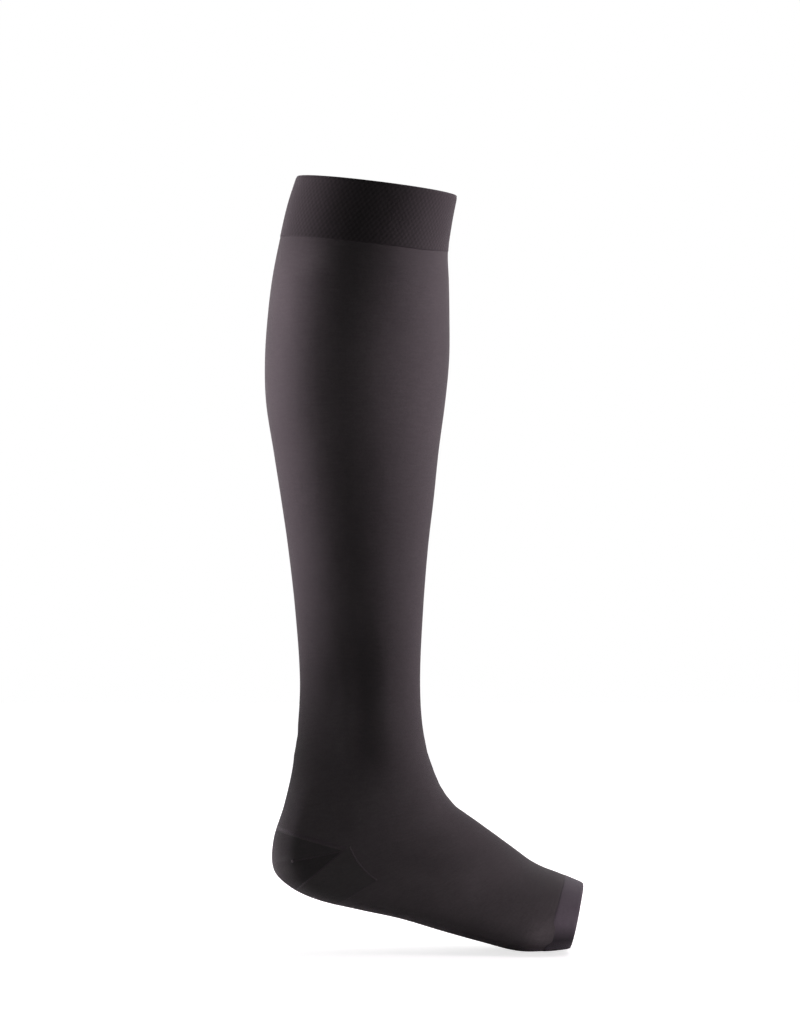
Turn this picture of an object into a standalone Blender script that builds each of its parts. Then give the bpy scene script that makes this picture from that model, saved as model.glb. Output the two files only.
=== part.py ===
"""Open-toe, below-knee compression stocking, filled out on a general leg, as a Blender model.

Metres. +Z runs up the leg, +X points to the toes, +Y to the inner side of a right leg.
The origin is the middle of the knit band below the knee, which is where the leg holds it.

The stocking is one knitted tube, described by the sections in SECTIONS. Each section is a ring in
a plane that holds the Y direction: it runs from a point on the back line (calf, heel, sole) to a
point on the front line (shin, instep). The tube is given its wall and parted where the knitting
changes: the band, the leg, the heel pocket, the gusset under the heel, the foot and the toe band.
"""

import bisect
import math
from collections import namedtuple

import bmesh
import bpy
from mathutils import Vector

# Driving dimensions
BODY_WALL = 0.0015  # knit of leg, heel and foot
TOP_BAND_WALL = 0.0022  # double knit
TOE_BAND_WALL = 0.0018
SEAM_GAP = 0.0003  # between pieces that meet at a seam

# How finely the cloth is divided
POINTS_ROUND = 40
RING_STEP = 0.0095
BAND_RINGS = 5
RING_DETAIL = 12  # points worked out for each one kept, to space them evenly

# The seams of the body seen from the side, as points (x, z) and directions in degrees from them
HEEL_CORNER = (-0.0152, -0.3793)  # on each side of the ankle
LEG_TO_HEEL_DEG = 165.0  # from the corner up round the back of the heel
HEEL_TO_GUSSET_DEG = 221.0  # from the corner down under the heel
FOOT_TO_LEG_DEG = 25.0  # from the corner forward and up over the bend of the instep
GUSSET_TIP = (0.0033, -0.3977)  # on each side of the foot, below the corner
GUSSET_TO_FOOT_DEG = 212.3  # from the tip back and down under the arch
FULL_TURN_DEG = 360.0

# The cutters that part the body reach well past the cloth
BODY_REACH = 0.60
GUSSET_REACH = 0.08
CUTTER_HALF_WIDTH = 0.10

Section = namedtuple(
    "Section",
    "name back_x back_z front_x front_z outer inner ridge widest n_back n_front",
)
# outer and inner are the half widths; ridge is how far the front line stands to the inner side;
# widest is where the ring is widest, as a share of its depth from the back line; n_back and
# n_front say how square its two halves are, where 2 is an ellipse.
SECTIONS = [
    Section("top edge", -0.0450, 0.0222, 0.0510, 0.0104, 0.0490, 0.0490, 0.000, 0.48, 2.15, 2.05),
    Section("band middle", -0.0505, 0.0050, 0.0478, -0.0062, 0.0500, 0.0495, 0.000, 0.47, 2.15, 2.05),
    Section("band seam", -0.0549, -0.0140, 0.0456, -0.0228, 0.0515, 0.0505, 0.000, 0.46, 2.15, 2.00),
    Section("upper calf", -0.0594, -0.0366, 0.0462, -0.0414, 0.0535, 0.0522, 0.001, 0.45, 2.15, 2.00),
    Section("calf rise", -0.0622, -0.0580, 0.0465, -0.0605, 0.0543, 0.0540, 0.001, 0.44, 2.15, 1.95),
    Section("calf", -0.0642, -0.0860, 0.0464, -0.0870, 0.0535, 0.0555, 0.002, 0.43, 2.15, 1.95),
    Section("calf fall", -0.0636, -0.1130, 0.0440, -0.1130, 0.0510, 0.0552, 0.002, 0.43, 2.15, 1.95),
    Section("under calf", -0.0590, -0.1430, 0.0400, -0.1430, 0.0468, 0.0518, 0.002, 0.44, 2.12, 1.95),
    Section("mid leg", -0.0546, -0.1710, 0.0371, -0.1710, 0.0427, 0.0468, 0.002, 0.45, 2.10, 1.95),
    Section("lower leg", -0.0504, -0.2000, 0.0337, -0.2000, 0.0386, 0.0415, 0.001, 0.46, 2.05, 1.95),
    Section("above ankle", -0.0461, -0.2380, 0.0307, -0.2380, 0.0335, 0.0350, 0.000, 0.48, 2.00, 2.00),
    Section("ankle", -0.0433, -0.2790, 0.0289, -0.2790, 0.0300, 0.0302, 0.000, 0.50, 2.00, 2.05),
    Section("ankle base", -0.0445, -0.3070, 0.0302, -0.3060, 0.0320, 0.0312, 0.000, 0.50, 2.05, 2.10),
    Section("above heel", -0.0478, -0.3330, 0.0345, -0.3270, 0.0350, 0.0336, 0.001, 0.49, 2.15, 2.10),
    Section("heel top", -0.0528, -0.3550, 0.0410, -0.3430, 0.0358, 0.0348, 0.002, 0.47, 2.25, 2.10),
    Section("heel back", -0.0592, -0.3760, 0.0490, -0.3545, 0.0352, 0.0346, 0.003, 0.45, 2.35, 2.05),
    Section("heel curve", -0.0590, -0.3935, 0.0560, -0.3600, 0.0348, 0.0346, 0.004, 0.43, 2.40, 2.00),
    Section("heel seat", -0.0490, -0.4040, 0.0624, -0.3645, 0.0350, 0.0350, 0.005, 0.41, 2.40, 2.00),
    Section("heel front", -0.0330, -0.4115, 0.0690, -0.3693, 0.0358, 0.0356, 0.006, 0.40, 2.40, 2.00),
    Section("arch", -0.0090, -0.4172, 0.0772, -0.3753, 0.0372, 0.0364, 0.007, 0.39, 2.45, 2.00),
    Section("mid foot", 0.0165, -0.4226, 0.0860, -0.3818, 0.0395, 0.0380, 0.008, 0.39, 2.50, 2.00),
    Section("fore arch", 0.0420, -0.4300, 0.0952, -0.3886, 0.0425, 0.0402, 0.009, 0.39, 2.55, 2.00),
    Section("behind ball", 0.0660, -0.4366, 0.1032, -0.3928, 0.0453, 0.0424, 0.009, 0.40, 2.55, 2.05),
    Section("ball", 0.0870, -0.4417, 0.1097, -0.3952, 0.0470, 0.0440, 0.008, 0.42, 2.55, 2.10),
    Section("toe seam", 0.1048, -0.4418, 0.1160, -0.3977, 0.0468, 0.0438, 0.007, 0.44, 2.45, 2.15),
    Section("toe edge", 0.1194, -0.4403, 0.1271, -0.4023, 0.0452, 0.0424, 0.006, 0.46, 2.35, 2.15),
]
BAND_SEAM = "band seam"
TOE_SEAM = "toe seam"


def clear_scene():
    for old in list(bpy.data.objects):
        bpy.data.objects.remove(old)


def new_collection(name):
    collection = bpy.data.collections.new(name)
    bpy.context.scene.collection.children.link(collection)
    return collection


def knit_material(name, colour, roughness):
    material = bpy.data.materials.new(name)
    material.use_nodes = True
    shader = material.node_tree.nodes["Principled BSDF"]
    shader.inputs["Base Color"].default_value = (*colour, 1.0)
    shader.inputs["Roughness"].default_value = roughness
    shader.inputs["Metallic"].default_value = 0.0
    return material


# The tube's surface


def stations():
    """How far along the tube each section stands, by the longer of its two outlines."""
    found = [0.0]
    for one, two in zip(SECTIONS, SECTIONS[1:]):
        back = math.hypot(two.back_x - one.back_x, two.back_z - one.back_z)
        front = math.hypot(two.front_x - one.front_x, two.front_z - one.front_z)
        found.append(found[-1] + max(back, front))
    return found


STATIONS = stations()


def station_of(name):
    return STATIONS[[section.name for section in SECTIONS].index(name)]


def slope(values, i):
    """The slope of a column at row i, from the rows on each side."""
    low, high = max(i - 1, 0), min(i + 1, len(values) - 1)
    return (values[high] - values[low]) / (STATIONS[high] - STATIONS[low])


def section_at(station):
    """The section at any station, on a smooth curve through the rows of the table."""
    i = min(max(bisect.bisect_right(STATIONS, station) - 1, 0), len(STATIONS) - 2)
    span = STATIONS[i + 1] - STATIONS[i]
    t = (station - STATIONS[i]) / span
    columns = []
    for values in list(zip(*SECTIONS))[1:]:
        columns.append(
            (2 * t**3 - 3 * t**2 + 1) * values[i]
            + (t**3 - 2 * t**2 + t) * span * slope(values, i)
            + (3 * t**2 - 2 * t**3) * values[i + 1]
            + (t**3 - t**2) * span * slope(values, i + 1)
        )
    return Section("", *columns)


def power(value, exponent):
    return math.copysign(abs(value) ** exponent, value)


def ring_point(section, angle):
    """A point of the ring: angle 0 is on the back line, and it turns by the outer side."""
    back = Vector((section.back_x, 0.0, section.back_z))
    front = Vector((section.front_x, 0.0, section.front_z))
    c, s = math.cos(angle), math.sin(angle)
    n = section.n_back if c > 0 else section.n_front
    reach = section.widest if c > 0 else 1 - section.widest
    share = section.widest - reach * power(c, 2 / n)
    half_width = section.outer if s > 0 else section.inner
    point = back.lerp(front, share)
    point.y = section.ridge * share**2 - half_width * power(s, 2 / n)
    return point


def ring(station):
    """POINTS_ROUND points, evenly spaced round the cloth at a station."""
    section = section_at(station)
    fine = POINTS_ROUND * RING_DETAIL
    points = [ring_point(section, 2 * math.pi * i / fine) for i in range(fine)]
    points.append(points[0])
    run = [0.0]
    for one, two in zip(points, points[1:]):
        run.append(run[-1] + (two - one).length)
    even = []
    for i in range(POINTS_ROUND):
        target = run[-1] * i / POINTS_ROUND
        k = bisect.bisect_right(run, target) - 1
        even.append(points[k].lerp(points[k + 1], (target - run[k]) / (run[k + 1] - run[k])))
    return even


def tube(name, start, end, rings, wall, collection):
    """The cloth from one station to another, with its wall inside the table's outline."""
    points = []
    for i in range(rings):
        points += ring(start + (end - start) * i / (rings - 1))
    faces = []
    for i in range(rings - 1):
        for k in range(POINTS_ROUND):
            after = (k + 1) % POINTS_ROUND
            low, high = i * POINTS_ROUND, (i + 1) * POINTS_ROUND
            faces.append((low + k, low + after, high + after, high + k))
    mesh = bpy.data.meshes.new(name)
    mesh.from_pydata([tuple(p) for p in points], [], faces)
    bm = bmesh.new()
    bm.from_mesh(mesh)
    bmesh.ops.recalc_face_normals(bm, faces=bm.faces)
    bm.to_mesh(mesh)
    bm.free()
    obj = bpy.data.objects.new(name, mesh)
    collection.objects.link(obj)
    thicken = obj.modifiers.new("wall", "SOLIDIFY")
    thicken.thickness = wall
    thicken.offset = -1.0
    thicken.use_even_offset = True
    mesh.shade_smooth()
    return obj


# The seams of the body


def beyond(start, degrees, reach):
    angle = math.radians(degrees)
    return Vector(start) + Vector((math.cos(angle), math.sin(angle))) * reach


def between(from_deg, to_deg):
    """The outline of all that lies between two seams that leave the heel corner."""
    return [
        Vector(HEEL_CORNER),
        beyond(HEEL_CORNER, from_deg, BODY_REACH),
        beyond(HEEL_CORNER, (from_deg + to_deg) / 2, BODY_REACH * 2),
        beyond(HEEL_CORNER, to_deg, BODY_REACH),
    ]


def gusset_outline():
    return [
        Vector(HEEL_CORNER),
        beyond(HEEL_CORNER, HEEL_TO_GUSSET_DEG, GUSSET_REACH),
        beyond(GUSSET_TIP, GUSSET_TO_FOOT_DEG, GUSSET_REACH),
        Vector(GUSSET_TIP),
    ]


def drawn_in(outline, distance):
    """A convex anticlockwise outline with each side moved inwards by a distance."""
    sides = []
    for here, after in zip(outline, outline[1:] + outline[:1]):
        run = (after - here).normalized()
        sides.append((here + Vector((-run.y, run.x)) * distance, run))
    corners = []
    for (start, run), (next_start, next_run) in zip(sides, sides[1:] + sides[:1]):
        along = (next_start - start).cross(next_run) / run.cross(next_run)
        corners.append(start + run * along)
    return corners


def cutter(name, outline, collection):
    """A prism across the stocking, from an outline seen from the side."""
    mesh = bpy.data.meshes.new(name)
    bm = bmesh.new()
    near = [bm.verts.new((p.x, -CUTTER_HALF_WIDTH, p.y)) for p in outline]
    grown = bmesh.ops.extrude_face_region(bm, geom=[bm.faces.new(near)])
    far = [item for item in grown["geom"] if isinstance(item, bmesh.types.BMVert)]
    bmesh.ops.translate(bm, verts=far, vec=(0.0, 2 * CUTTER_HALF_WIDTH, 0.0))
    bmesh.ops.recalc_face_normals(bm, faces=bm.faces)
    bm.to_mesh(mesh)
    bm.free()
    prism = bpy.data.objects.new(name, mesh)
    prism.hide_render = True
    prism.display_type = "WIRE"
    collection.objects.link(prism)
    return prism


def add_boolean(piece, operation, prism):
    modifier = piece.modifiers.new(prism.name, "BOOLEAN")
    modifier.operation = operation
    modifier.solver = "EXACT"
    modifier.object = prism


def body_piece(name, outline, material, parts, cutters):
    """The part of the tube between the bands that lies inside an outline seen from the side."""
    start = station_of(BAND_SEAM) + SEAM_GAP / 2
    end = station_of(TOE_SEAM) - SEAM_GAP / 2
    rings = round((end - start) / RING_STEP) + 1
    piece = tube(name, start, end, rings, BODY_WALL, parts)
    add_boolean(piece, "INTERSECT", cutter(name + " seams", drawn_in(outline, SEAM_GAP / 2), cutters))
    piece.data.materials.append(material)
    return piece


def top_band(material, parts):
    end = station_of(BAND_SEAM) - SEAM_GAP / 2
    band = tube("top_band", 0.0, end, BAND_RINGS, TOP_BAND_WALL, parts)
    band.data.materials.append(material)


def toe_band(material, parts):
    start = station_of(TOE_SEAM) + SEAM_GAP / 2
    band = tube("toe_band", start, STATIONS[-1], BAND_RINGS, TOE_BAND_WALL, parts)
    band.data.materials.append(material)


def main():
    clear_scene()
    parts = new_collection("compression stocking")
    cutters = new_collection("seam cutters")
    body_knit = knit_material("body knit", (0.030, 0.025, 0.028), 0.75)
    band_knit = knit_material("band knit", (0.016, 0.014, 0.015), 0.80)
    heel_knit = knit_material("heel knit", (0.010, 0.009, 0.010), 0.80)
    gusset_knit = knit_material("gusset knit", (0.022, 0.020, 0.021), 0.78)
    hem_knit = knit_material("toe hem knit", (0.036, 0.035, 0.045), 0.75)

    top_band(band_knit, parts)
    above = between(FOOT_TO_LEG_DEG, LEG_TO_HEEL_DEG)
    body_piece("leg", above, body_knit, parts, cutters)
    behind = between(LEG_TO_HEEL_DEG, HEEL_TO_GUSSET_DEG)
    body_piece("heel", behind, heel_knit, parts, cutters)
    body_piece("heel_gusset", gusset_outline(), gusset_knit, parts, cutters)
    ahead = between(HEEL_TO_GUSSET_DEG, FOOT_TO_LEG_DEG + FULL_TURN_DEG)
    foot = body_piece("foot", ahead, body_knit, parts, cutters)
    gusset_room = cutter("gusset room", drawn_in(gusset_outline(), -SEAM_GAP / 2), cutters)
    add_boolean(foot, "DIFFERENCE", gusset_room)
    toe_band(hem_knit, parts)


main()
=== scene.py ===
import bisect
import math
import bmesh
import bpy
import numpy as np
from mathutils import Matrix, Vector
from mathutils.bvhtree import BVHTree


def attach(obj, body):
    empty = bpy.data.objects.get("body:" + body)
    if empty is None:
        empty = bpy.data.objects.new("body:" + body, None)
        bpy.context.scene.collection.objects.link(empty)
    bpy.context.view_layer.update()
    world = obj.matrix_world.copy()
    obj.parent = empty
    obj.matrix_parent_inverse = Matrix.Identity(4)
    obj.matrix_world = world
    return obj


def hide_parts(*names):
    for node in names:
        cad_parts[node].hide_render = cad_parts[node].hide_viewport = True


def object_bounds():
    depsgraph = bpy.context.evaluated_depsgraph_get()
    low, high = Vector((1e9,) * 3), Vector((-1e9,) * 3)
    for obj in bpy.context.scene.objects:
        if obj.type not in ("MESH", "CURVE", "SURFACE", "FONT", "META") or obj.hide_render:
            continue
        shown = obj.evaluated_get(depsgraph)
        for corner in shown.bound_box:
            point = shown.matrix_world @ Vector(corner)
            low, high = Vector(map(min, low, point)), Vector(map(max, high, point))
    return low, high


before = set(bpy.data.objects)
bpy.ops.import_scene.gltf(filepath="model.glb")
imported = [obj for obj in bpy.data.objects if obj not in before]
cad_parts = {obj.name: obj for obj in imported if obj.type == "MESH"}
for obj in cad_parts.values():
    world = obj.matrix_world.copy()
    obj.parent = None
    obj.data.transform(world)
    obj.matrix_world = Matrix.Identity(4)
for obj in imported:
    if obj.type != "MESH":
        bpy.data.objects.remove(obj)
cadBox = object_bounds()
print("frame loaded")

# the camera looks level along +Y at the outer side of the leg
view = {"middle": (0.0168, -0.1792), "distance": 3.1, "height": 0.6144, "sensor": 36.0}

# one row for each ring of cloth, from the top edge to the toe edge, in metres. A ring runs from a point
# on the back line (calf, heel, sole) to one on the front line (shin, instep). outer and inner are half
# widths, ridge is how far the front line stands to the inner side, widest is where the ring is widest,
# as a share of its depth from the back line, and the last two say how square its halves are (2 is an
# ellipse)
ringColumns = "backX backZ frontX frontZ outer inner ridge widest backSquare frontSquare".split()
ringRows = {
    "topEdge": (-0.0450, 0.0222, 0.0510, 0.0104, 0.0490, 0.0490, 0.000, 0.48, 2.15, 2.05),
    "bandMiddle": (-0.0505, 0.0050, 0.0478, -0.0062, 0.0500, 0.0495, 0.000, 0.47, 2.15, 2.05),
    "bandSeam": (-0.0549, -0.0140, 0.0456, -0.0228, 0.0515, 0.0505, 0.000, 0.46, 2.15, 2.00),
    "upperCalf": (-0.0594, -0.0366, 0.0462, -0.0414, 0.0535, 0.0522, 0.001, 0.45, 2.15, 2.00),
    "calfRise": (-0.0622, -0.0580, 0.0465, -0.0605, 0.0543, 0.0540, 0.001, 0.44, 2.15, 1.95),
    "calf": (-0.0642, -0.0860, 0.0464, -0.0870, 0.0535, 0.0555, 0.002, 0.43, 2.15, 1.95),
    "calfFall": (-0.0636, -0.1130, 0.0440, -0.1130, 0.0510, 0.0552, 0.002, 0.43, 2.15, 1.95),
    "underCalf": (-0.0590, -0.1430, 0.0400, -0.1430, 0.0468, 0.0518, 0.002, 0.44, 2.12, 1.95),
    "midLeg": (-0.0546, -0.1710, 0.0371, -0.1710, 0.0427, 0.0468, 0.002, 0.45, 2.10, 1.95),
    "lowerLeg": (-0.0504, -0.2000, 0.0337, -0.2000, 0.0386, 0.0415, 0.001, 0.46, 2.05, 1.95),
    "aboveAnkle": (-0.0461, -0.2380, 0.0307, -0.2380, 0.0335, 0.0350, 0.000, 0.48, 2.00, 2.00),
    "ankle": (-0.0433, -0.2790, 0.0289, -0.2790, 0.0300, 0.0302, 0.000, 0.50, 2.00, 2.05),
    "ankleBase": (-0.0445, -0.3070, 0.0302, -0.3060, 0.0320, 0.0312, 0.000, 0.50, 2.05, 2.10),
    "aboveHeel": (-0.0478, -0.3330, 0.0345, -0.3270, 0.0350, 0.0336, 0.001, 0.49, 2.15, 2.10),
    "heelTop": (-0.0528, -0.3550, 0.0410, -0.3430, 0.0358, 0.0348, 0.002, 0.47, 2.25, 2.10),
    "heelBack": (-0.0592, -0.3760, 0.0490, -0.3545, 0.0352, 0.0346, 0.003, 0.45, 2.35, 2.05),
    "heelCurve": (-0.0590, -0.3935, 0.0560, -0.3600, 0.0348, 0.0346, 0.004, 0.43, 2.40, 2.00),
    "heelSeat": (-0.0490, -0.4040, 0.0624, -0.3645, 0.0350, 0.0350, 0.005, 0.41, 2.40, 2.00),
    "heelFront": (-0.0330, -0.4115, 0.0690, -0.3693, 0.0358, 0.0356, 0.006, 0.40, 2.40, 2.00),
    "arch": (-0.0090, -0.4172, 0.0772, -0.3753, 0.0372, 0.0364, 0.007, 0.39, 2.45, 2.00),
    "midFoot": (0.0165, -0.4226, 0.0860, -0.3818, 0.0395, 0.0380, 0.008, 0.39, 2.50, 2.00),
    "foreArch": (0.0420, -0.4300, 0.0952, -0.3886, 0.0425, 0.0402, 0.009, 0.39, 2.55, 2.00),
    "behindBall": (0.0660, -0.4366, 0.1032, -0.3928, 0.0453, 0.0424, 0.009, 0.40, 2.55, 2.05),
    "ball": (0.0870, -0.4417, 0.1097, -0.3952, 0.0470, 0.0440, 0.008, 0.42, 2.55, 2.10),
    "toeSeam": (0.1048, -0.4418, 0.1160, -0.3977, 0.0468, 0.0438, 0.007, 0.44, 2.45, 2.15),
    "toeEdge": (0.1194, -0.4403, 0.1271, -0.4023, 0.0452, 0.0424, 0.006, 0.46, 2.35, 2.15),
}
ringTable = np.array(list(ringRows.values()))


def outlineRuns(firstColumn):
    steps = np.diff(ringTable[:, firstColumn:firstColumn + 2], axis=0)
    return np.hypot(steps[:, 0], steps[:, 1])


backRuns, frontRuns = outlineRuns(0), outlineRuns(2)
ringPlaces = np.concatenate([[0.0], np.cumsum(np.maximum(backRuns, frontRuns))])
# courses of knit are counted by the mean of the two outlines
coursePlaces = np.concatenate([[0.0], np.cumsum((backRuns + frontRuns) / 2)])


def placeOf(ringName):
    return float(ringPlaces[list(ringRows).index(ringName)])


def smoothRows(places):
    # a smooth curve through the rows of the table, as one row for each place
    i = np.clip(np.searchsorted(ringPlaces, places, side="right") - 1, 0, len(ringPlaces) - 2)
    order = np.arange(len(ringPlaces))
    low, high = np.maximum(order - 1, 0), np.minimum(order + 1, len(ringPlaces) - 1)
    slopes = (ringTable[high] - ringTable[low]) / (ringPlaces[high] - ringPlaces[low])[:, None]
    span = (ringPlaces[i + 1] - ringPlaces[i])[:, None]
    t = (places[:, None] - ringPlaces[i][:, None]) / span
    return (
        (2 * t**3 - 3 * t**2 + 1) * ringTable[i]
        + (t**3 - 2 * t**2 + t) * span * slopes[i]
        + (3 * t**2 - 2 * t**3) * ringTable[i + 1]
        + (t**3 - t**2) * span * slopes[i + 1]
    )


def clothRings(places, count, finePerPoint=6):
    # an array of rings of evenly spaced points: each starts on the back line and turns by the outer side
    angle = np.linspace(0, 2 * math.pi, count * finePerPoint + 1)
    cosine, sine = np.cos(angle), np.sin(angle)
    rings = []
    for row in smoothRows(places):
        cut = dict(zip(ringColumns, row))
        square = np.where(cosine > 0, cut["backSquare"], cut["frontSquare"])
        reach = np.where(cosine > 0, cut["widest"], 1 - cut["widest"])
        share = cut["widest"] - reach * np.sign(cosine) * np.abs(cosine) ** (2 / square)
        halfWidth = np.where(sine > 0, cut["outer"], cut["inner"])
        x = cut["backX"] + (cut["frontX"] - cut["backX"]) * share
        z = cut["backZ"] + (cut["frontZ"] - cut["backZ"]) * share
        y = cut["ridge"] * share**2 - halfWidth * np.sign(sine) * np.abs(sine) ** (2 / square)
        run = np.concatenate([[0], np.cumsum(np.sqrt(np.diff(x)**2 + np.diff(y)**2 + np.diff(z)**2))])
        even = np.linspace(0, run[-1], count, endpoint=False)
        rings.append(np.stack([np.interp(even, run, line) for line in (x, y, z)], axis=1))
    return np.array(rings)


def outwards(rings):
    # unit normals of a grid of rings, pointing out of the leg
    along = np.gradient(rings, axis=0)
    around = np.roll(rings, -1, axis=1) - np.roll(rings, 1, axis=1)
    normal = np.cross(along, around)
    return normal / np.linalg.norm(normal, axis=2, keepdims=True)


def addObject(name, data):
    obj = bpy.data.objects.new(name, data)
    bpy.context.scene.collection.objects.link(obj)
    return obj


def meshFromRings(name, rings, acrossUv, alongUv, closed=False):
    # quads between rings; acrossUv has one value more than a ring has points, for the join. A closed
    # mesh also joins its last ring to its first
    rowCount, count = rings.shape[:2]
    mesh = bpy.data.meshes.new(name)
    last = rowCount if closed else rowCount - 1
    i, k = np.meshgrid(np.arange(last), np.arange(count), indexing="ij")
    i, k = i.ravel(), k.ravel()
    low, high = i * count, ((i + 1) % rowCount) * count
    after = (k + 1) % count
    quads = np.stack([low + k, high + k, high + after, low + after], axis=1)
    mesh.from_pydata(rings.reshape(-1, 3).tolist(), [], quads.tolist())
    uv = mesh.uv_layers.new(name="cloth")
    down = np.concatenate([alongUv, alongUv[-1:]]) if closed else alongUv
    across = np.stack([acrossUv[k], acrossUv[k], acrossUv[k + 1], acrossUv[k + 1]], axis=1)
    length = np.stack([down[i], down[i + 1], down[i + 1], down[i]], axis=1)
    uv.data.foreach_set("uv", np.stack([across, length], axis=2).ravel())
    mesh.update()
    return addObject(name, mesh)


def setShade(obj, shades):
    # how light each point's tone is: 1 is the plain tone. It holds the threads' and seams' own tones, and
    # also painted shade in hollows and painted light on swellings
    layer = obj.data.attributes.get("shade") or obj.data.attributes.new("shade", "FLOAT", "POINT")
    layer.data.foreach_set("value", np.broadcast_to(shades, len(obj.data.vertices)).astype(np.float32))


def selectOnly(obj):
    bpy.ops.object.select_all(action="DESELECT")
    obj.select_set(True)
    bpy.context.view_layer.objects.active = obj


def applyAll(obj):
    selectOnly(obj)
    for modifier in list(obj.modifiers):
        bpy.ops.object.modifier_apply(modifier=modifier.name)


# materials: knitStitch gives the loops of a knit, yarnTone the uneven look of its yarn


def addNode(tree, kind, place, **settings):
    node = tree.nodes.new(kind)
    node.location = place
    for key, value in settings.items():
        setattr(node, key, value)
    return node


def mathNode(tree, operation, place, *values):
    node = addNode(tree, "ShaderNodeMath", place, operation=operation)
    for socket, value in zip(node.inputs, values):
        if isinstance(value, (int, float)):
            socket.default_value = value
        else:
            tree.links.new(value, socket)
    return node.outputs[0]


def rangeNode(tree, place, value, fromMin, fromMax, toMin=0.0, toMax=1.0):
    node = addNode(tree, "ShaderNodeMapRange", place)
    tree.links.new(value, node.inputs["Value"])
    for name, limit in (("From Min", fromMin), ("From Max", fromMax), ("To Min", toMin), ("To Max", toMax)):
        node.inputs[name].default_value = limit
    return node.outputs["Result"]


def socketNamed(sockets, name, kind):
    # a Mix node has one socket of each name for each kind of data
    return [one for one in sockets if one.name == name and one.type == kind][0]


def newGroup(name, inputs, outputs):
    group = bpy.data.node_groups.new(name, "ShaderNodeTree")
    for socketName, kind, value in inputs:
        socket = group.interface.new_socket(socketName, in_out="INPUT", socket_type=kind)
        if value is not None:
            socket.default_value = value
    for socketName, kind in outputs:
        group.interface.new_socket(socketName, in_out="OUTPUT", socket_type=kind)
    start = addNode(group, "NodeGroupInput", (-1200, 0))
    end = addNode(group, "NodeGroupOutput", (900, 0))
    return group, start.outputs, end.inputs


loopForm = {"courseDip": 1.3, "roundness": 0.6}
yarnForm = {
    "driftDetail": 5.0, "driftRoughness": 0.62, "driftFrom": 0.3, "driftTo": 0.7,
    "lineScale": (34, 700, 1), "lineDetail": 1.0, "lineGain": 4.0,
}


def knitStitchGroup():
    # each wale is a column of V-shaped loops; a loop leg stands up as a small ridge
    inputs = [
        ("Cloth", "NodeSocketVector", None),
        ("Wales Round", "NodeSocketFloat", 400.0),
        ("Courses Per Metre", "NodeSocketFloat", 1500.0),
        ("Slant", "NodeSocketFloat", 0.6),
    ]
    outputs = [("Height", "NodeSocketFloat"), ("Cell", "NodeSocketFloat")]
    group, start, end = newGroup("knitStitch", inputs, outputs)
    split = addNode(group, "ShaderNodeSeparateXYZ", (-1000, 100))
    group.links.new(start["Cloth"], split.inputs[0])
    wale = mathNode(group, "MULTIPLY", (-820, 200), split.outputs["X"], start["Wales Round"])
    course = mathNode(group, "MULTIPLY", (-820, 0), split.outputs["Y"], start["Courses Per Metre"])
    inWale = mathNode(group, "FRACT", (-640, 200), wale)
    fromMiddle = mathNode(group, "SUBTRACT", (-550, 200), inWale, 0.5)
    offMiddle = mathNode(group, "ABSOLUTE", (-460, 200), fromMiddle)
    side = mathNode(group, "MULTIPLY", (-370, 200), offMiddle, 2.0)
    fromLeg = mathNode(group, "SUBTRACT", (-280, 200), side, 0.5)
    offLeg = mathNode(group, "ABSOLUTE", (-190, 200), fromLeg)
    legFall = mathNode(group, "MULTIPLY", (-100, 200), offLeg, 2.0)
    legHeight = mathNode(group, "SUBTRACT", (-10, 200), 1.0, legFall)
    slanted = mathNode(group, "MULTIPLY_ADD", (-280, 0), side, start["Slant"], course)
    inCourse = mathNode(group, "FRACT", (-190, 0), slanted)
    fromHump = mathNode(group, "SUBTRACT", (-100, 0), inCourse, 0.5)
    offHump = mathNode(group, "ABSOLUTE", (-10, 0), fromHump)
    humpFall = mathNode(group, "MULTIPLY", (80, 0), offHump, loopForm["courseDip"])
    humpHeight = mathNode(group, "SUBTRACT", (170, 0), 1.0, humpFall)
    rounded = mathNode(group, "POWER", (170, 200), legHeight, loopForm["roundness"])
    height = mathNode(group, "MULTIPLY", (350, 100), rounded, humpHeight)
    group.links.new(height, end["Height"])
    cell = addNode(group, "ShaderNodeCombineXYZ", (-100, -250))
    group.links.new(mathNode(group, "FLOOR", (-280, -200), wale), cell.inputs[0])
    group.links.new(mathNode(group, "FLOOR", (-280, -300), slanted), cell.inputs[1])
    chance = addNode(group, "ShaderNodeTexWhiteNoise", (80, -250), noise_dimensions="2D")
    group.links.new(cell.outputs[0], chance.inputs["Vector"])
    group.links.new(chance.outputs["Value"], end["Cell"])
    return group


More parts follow.
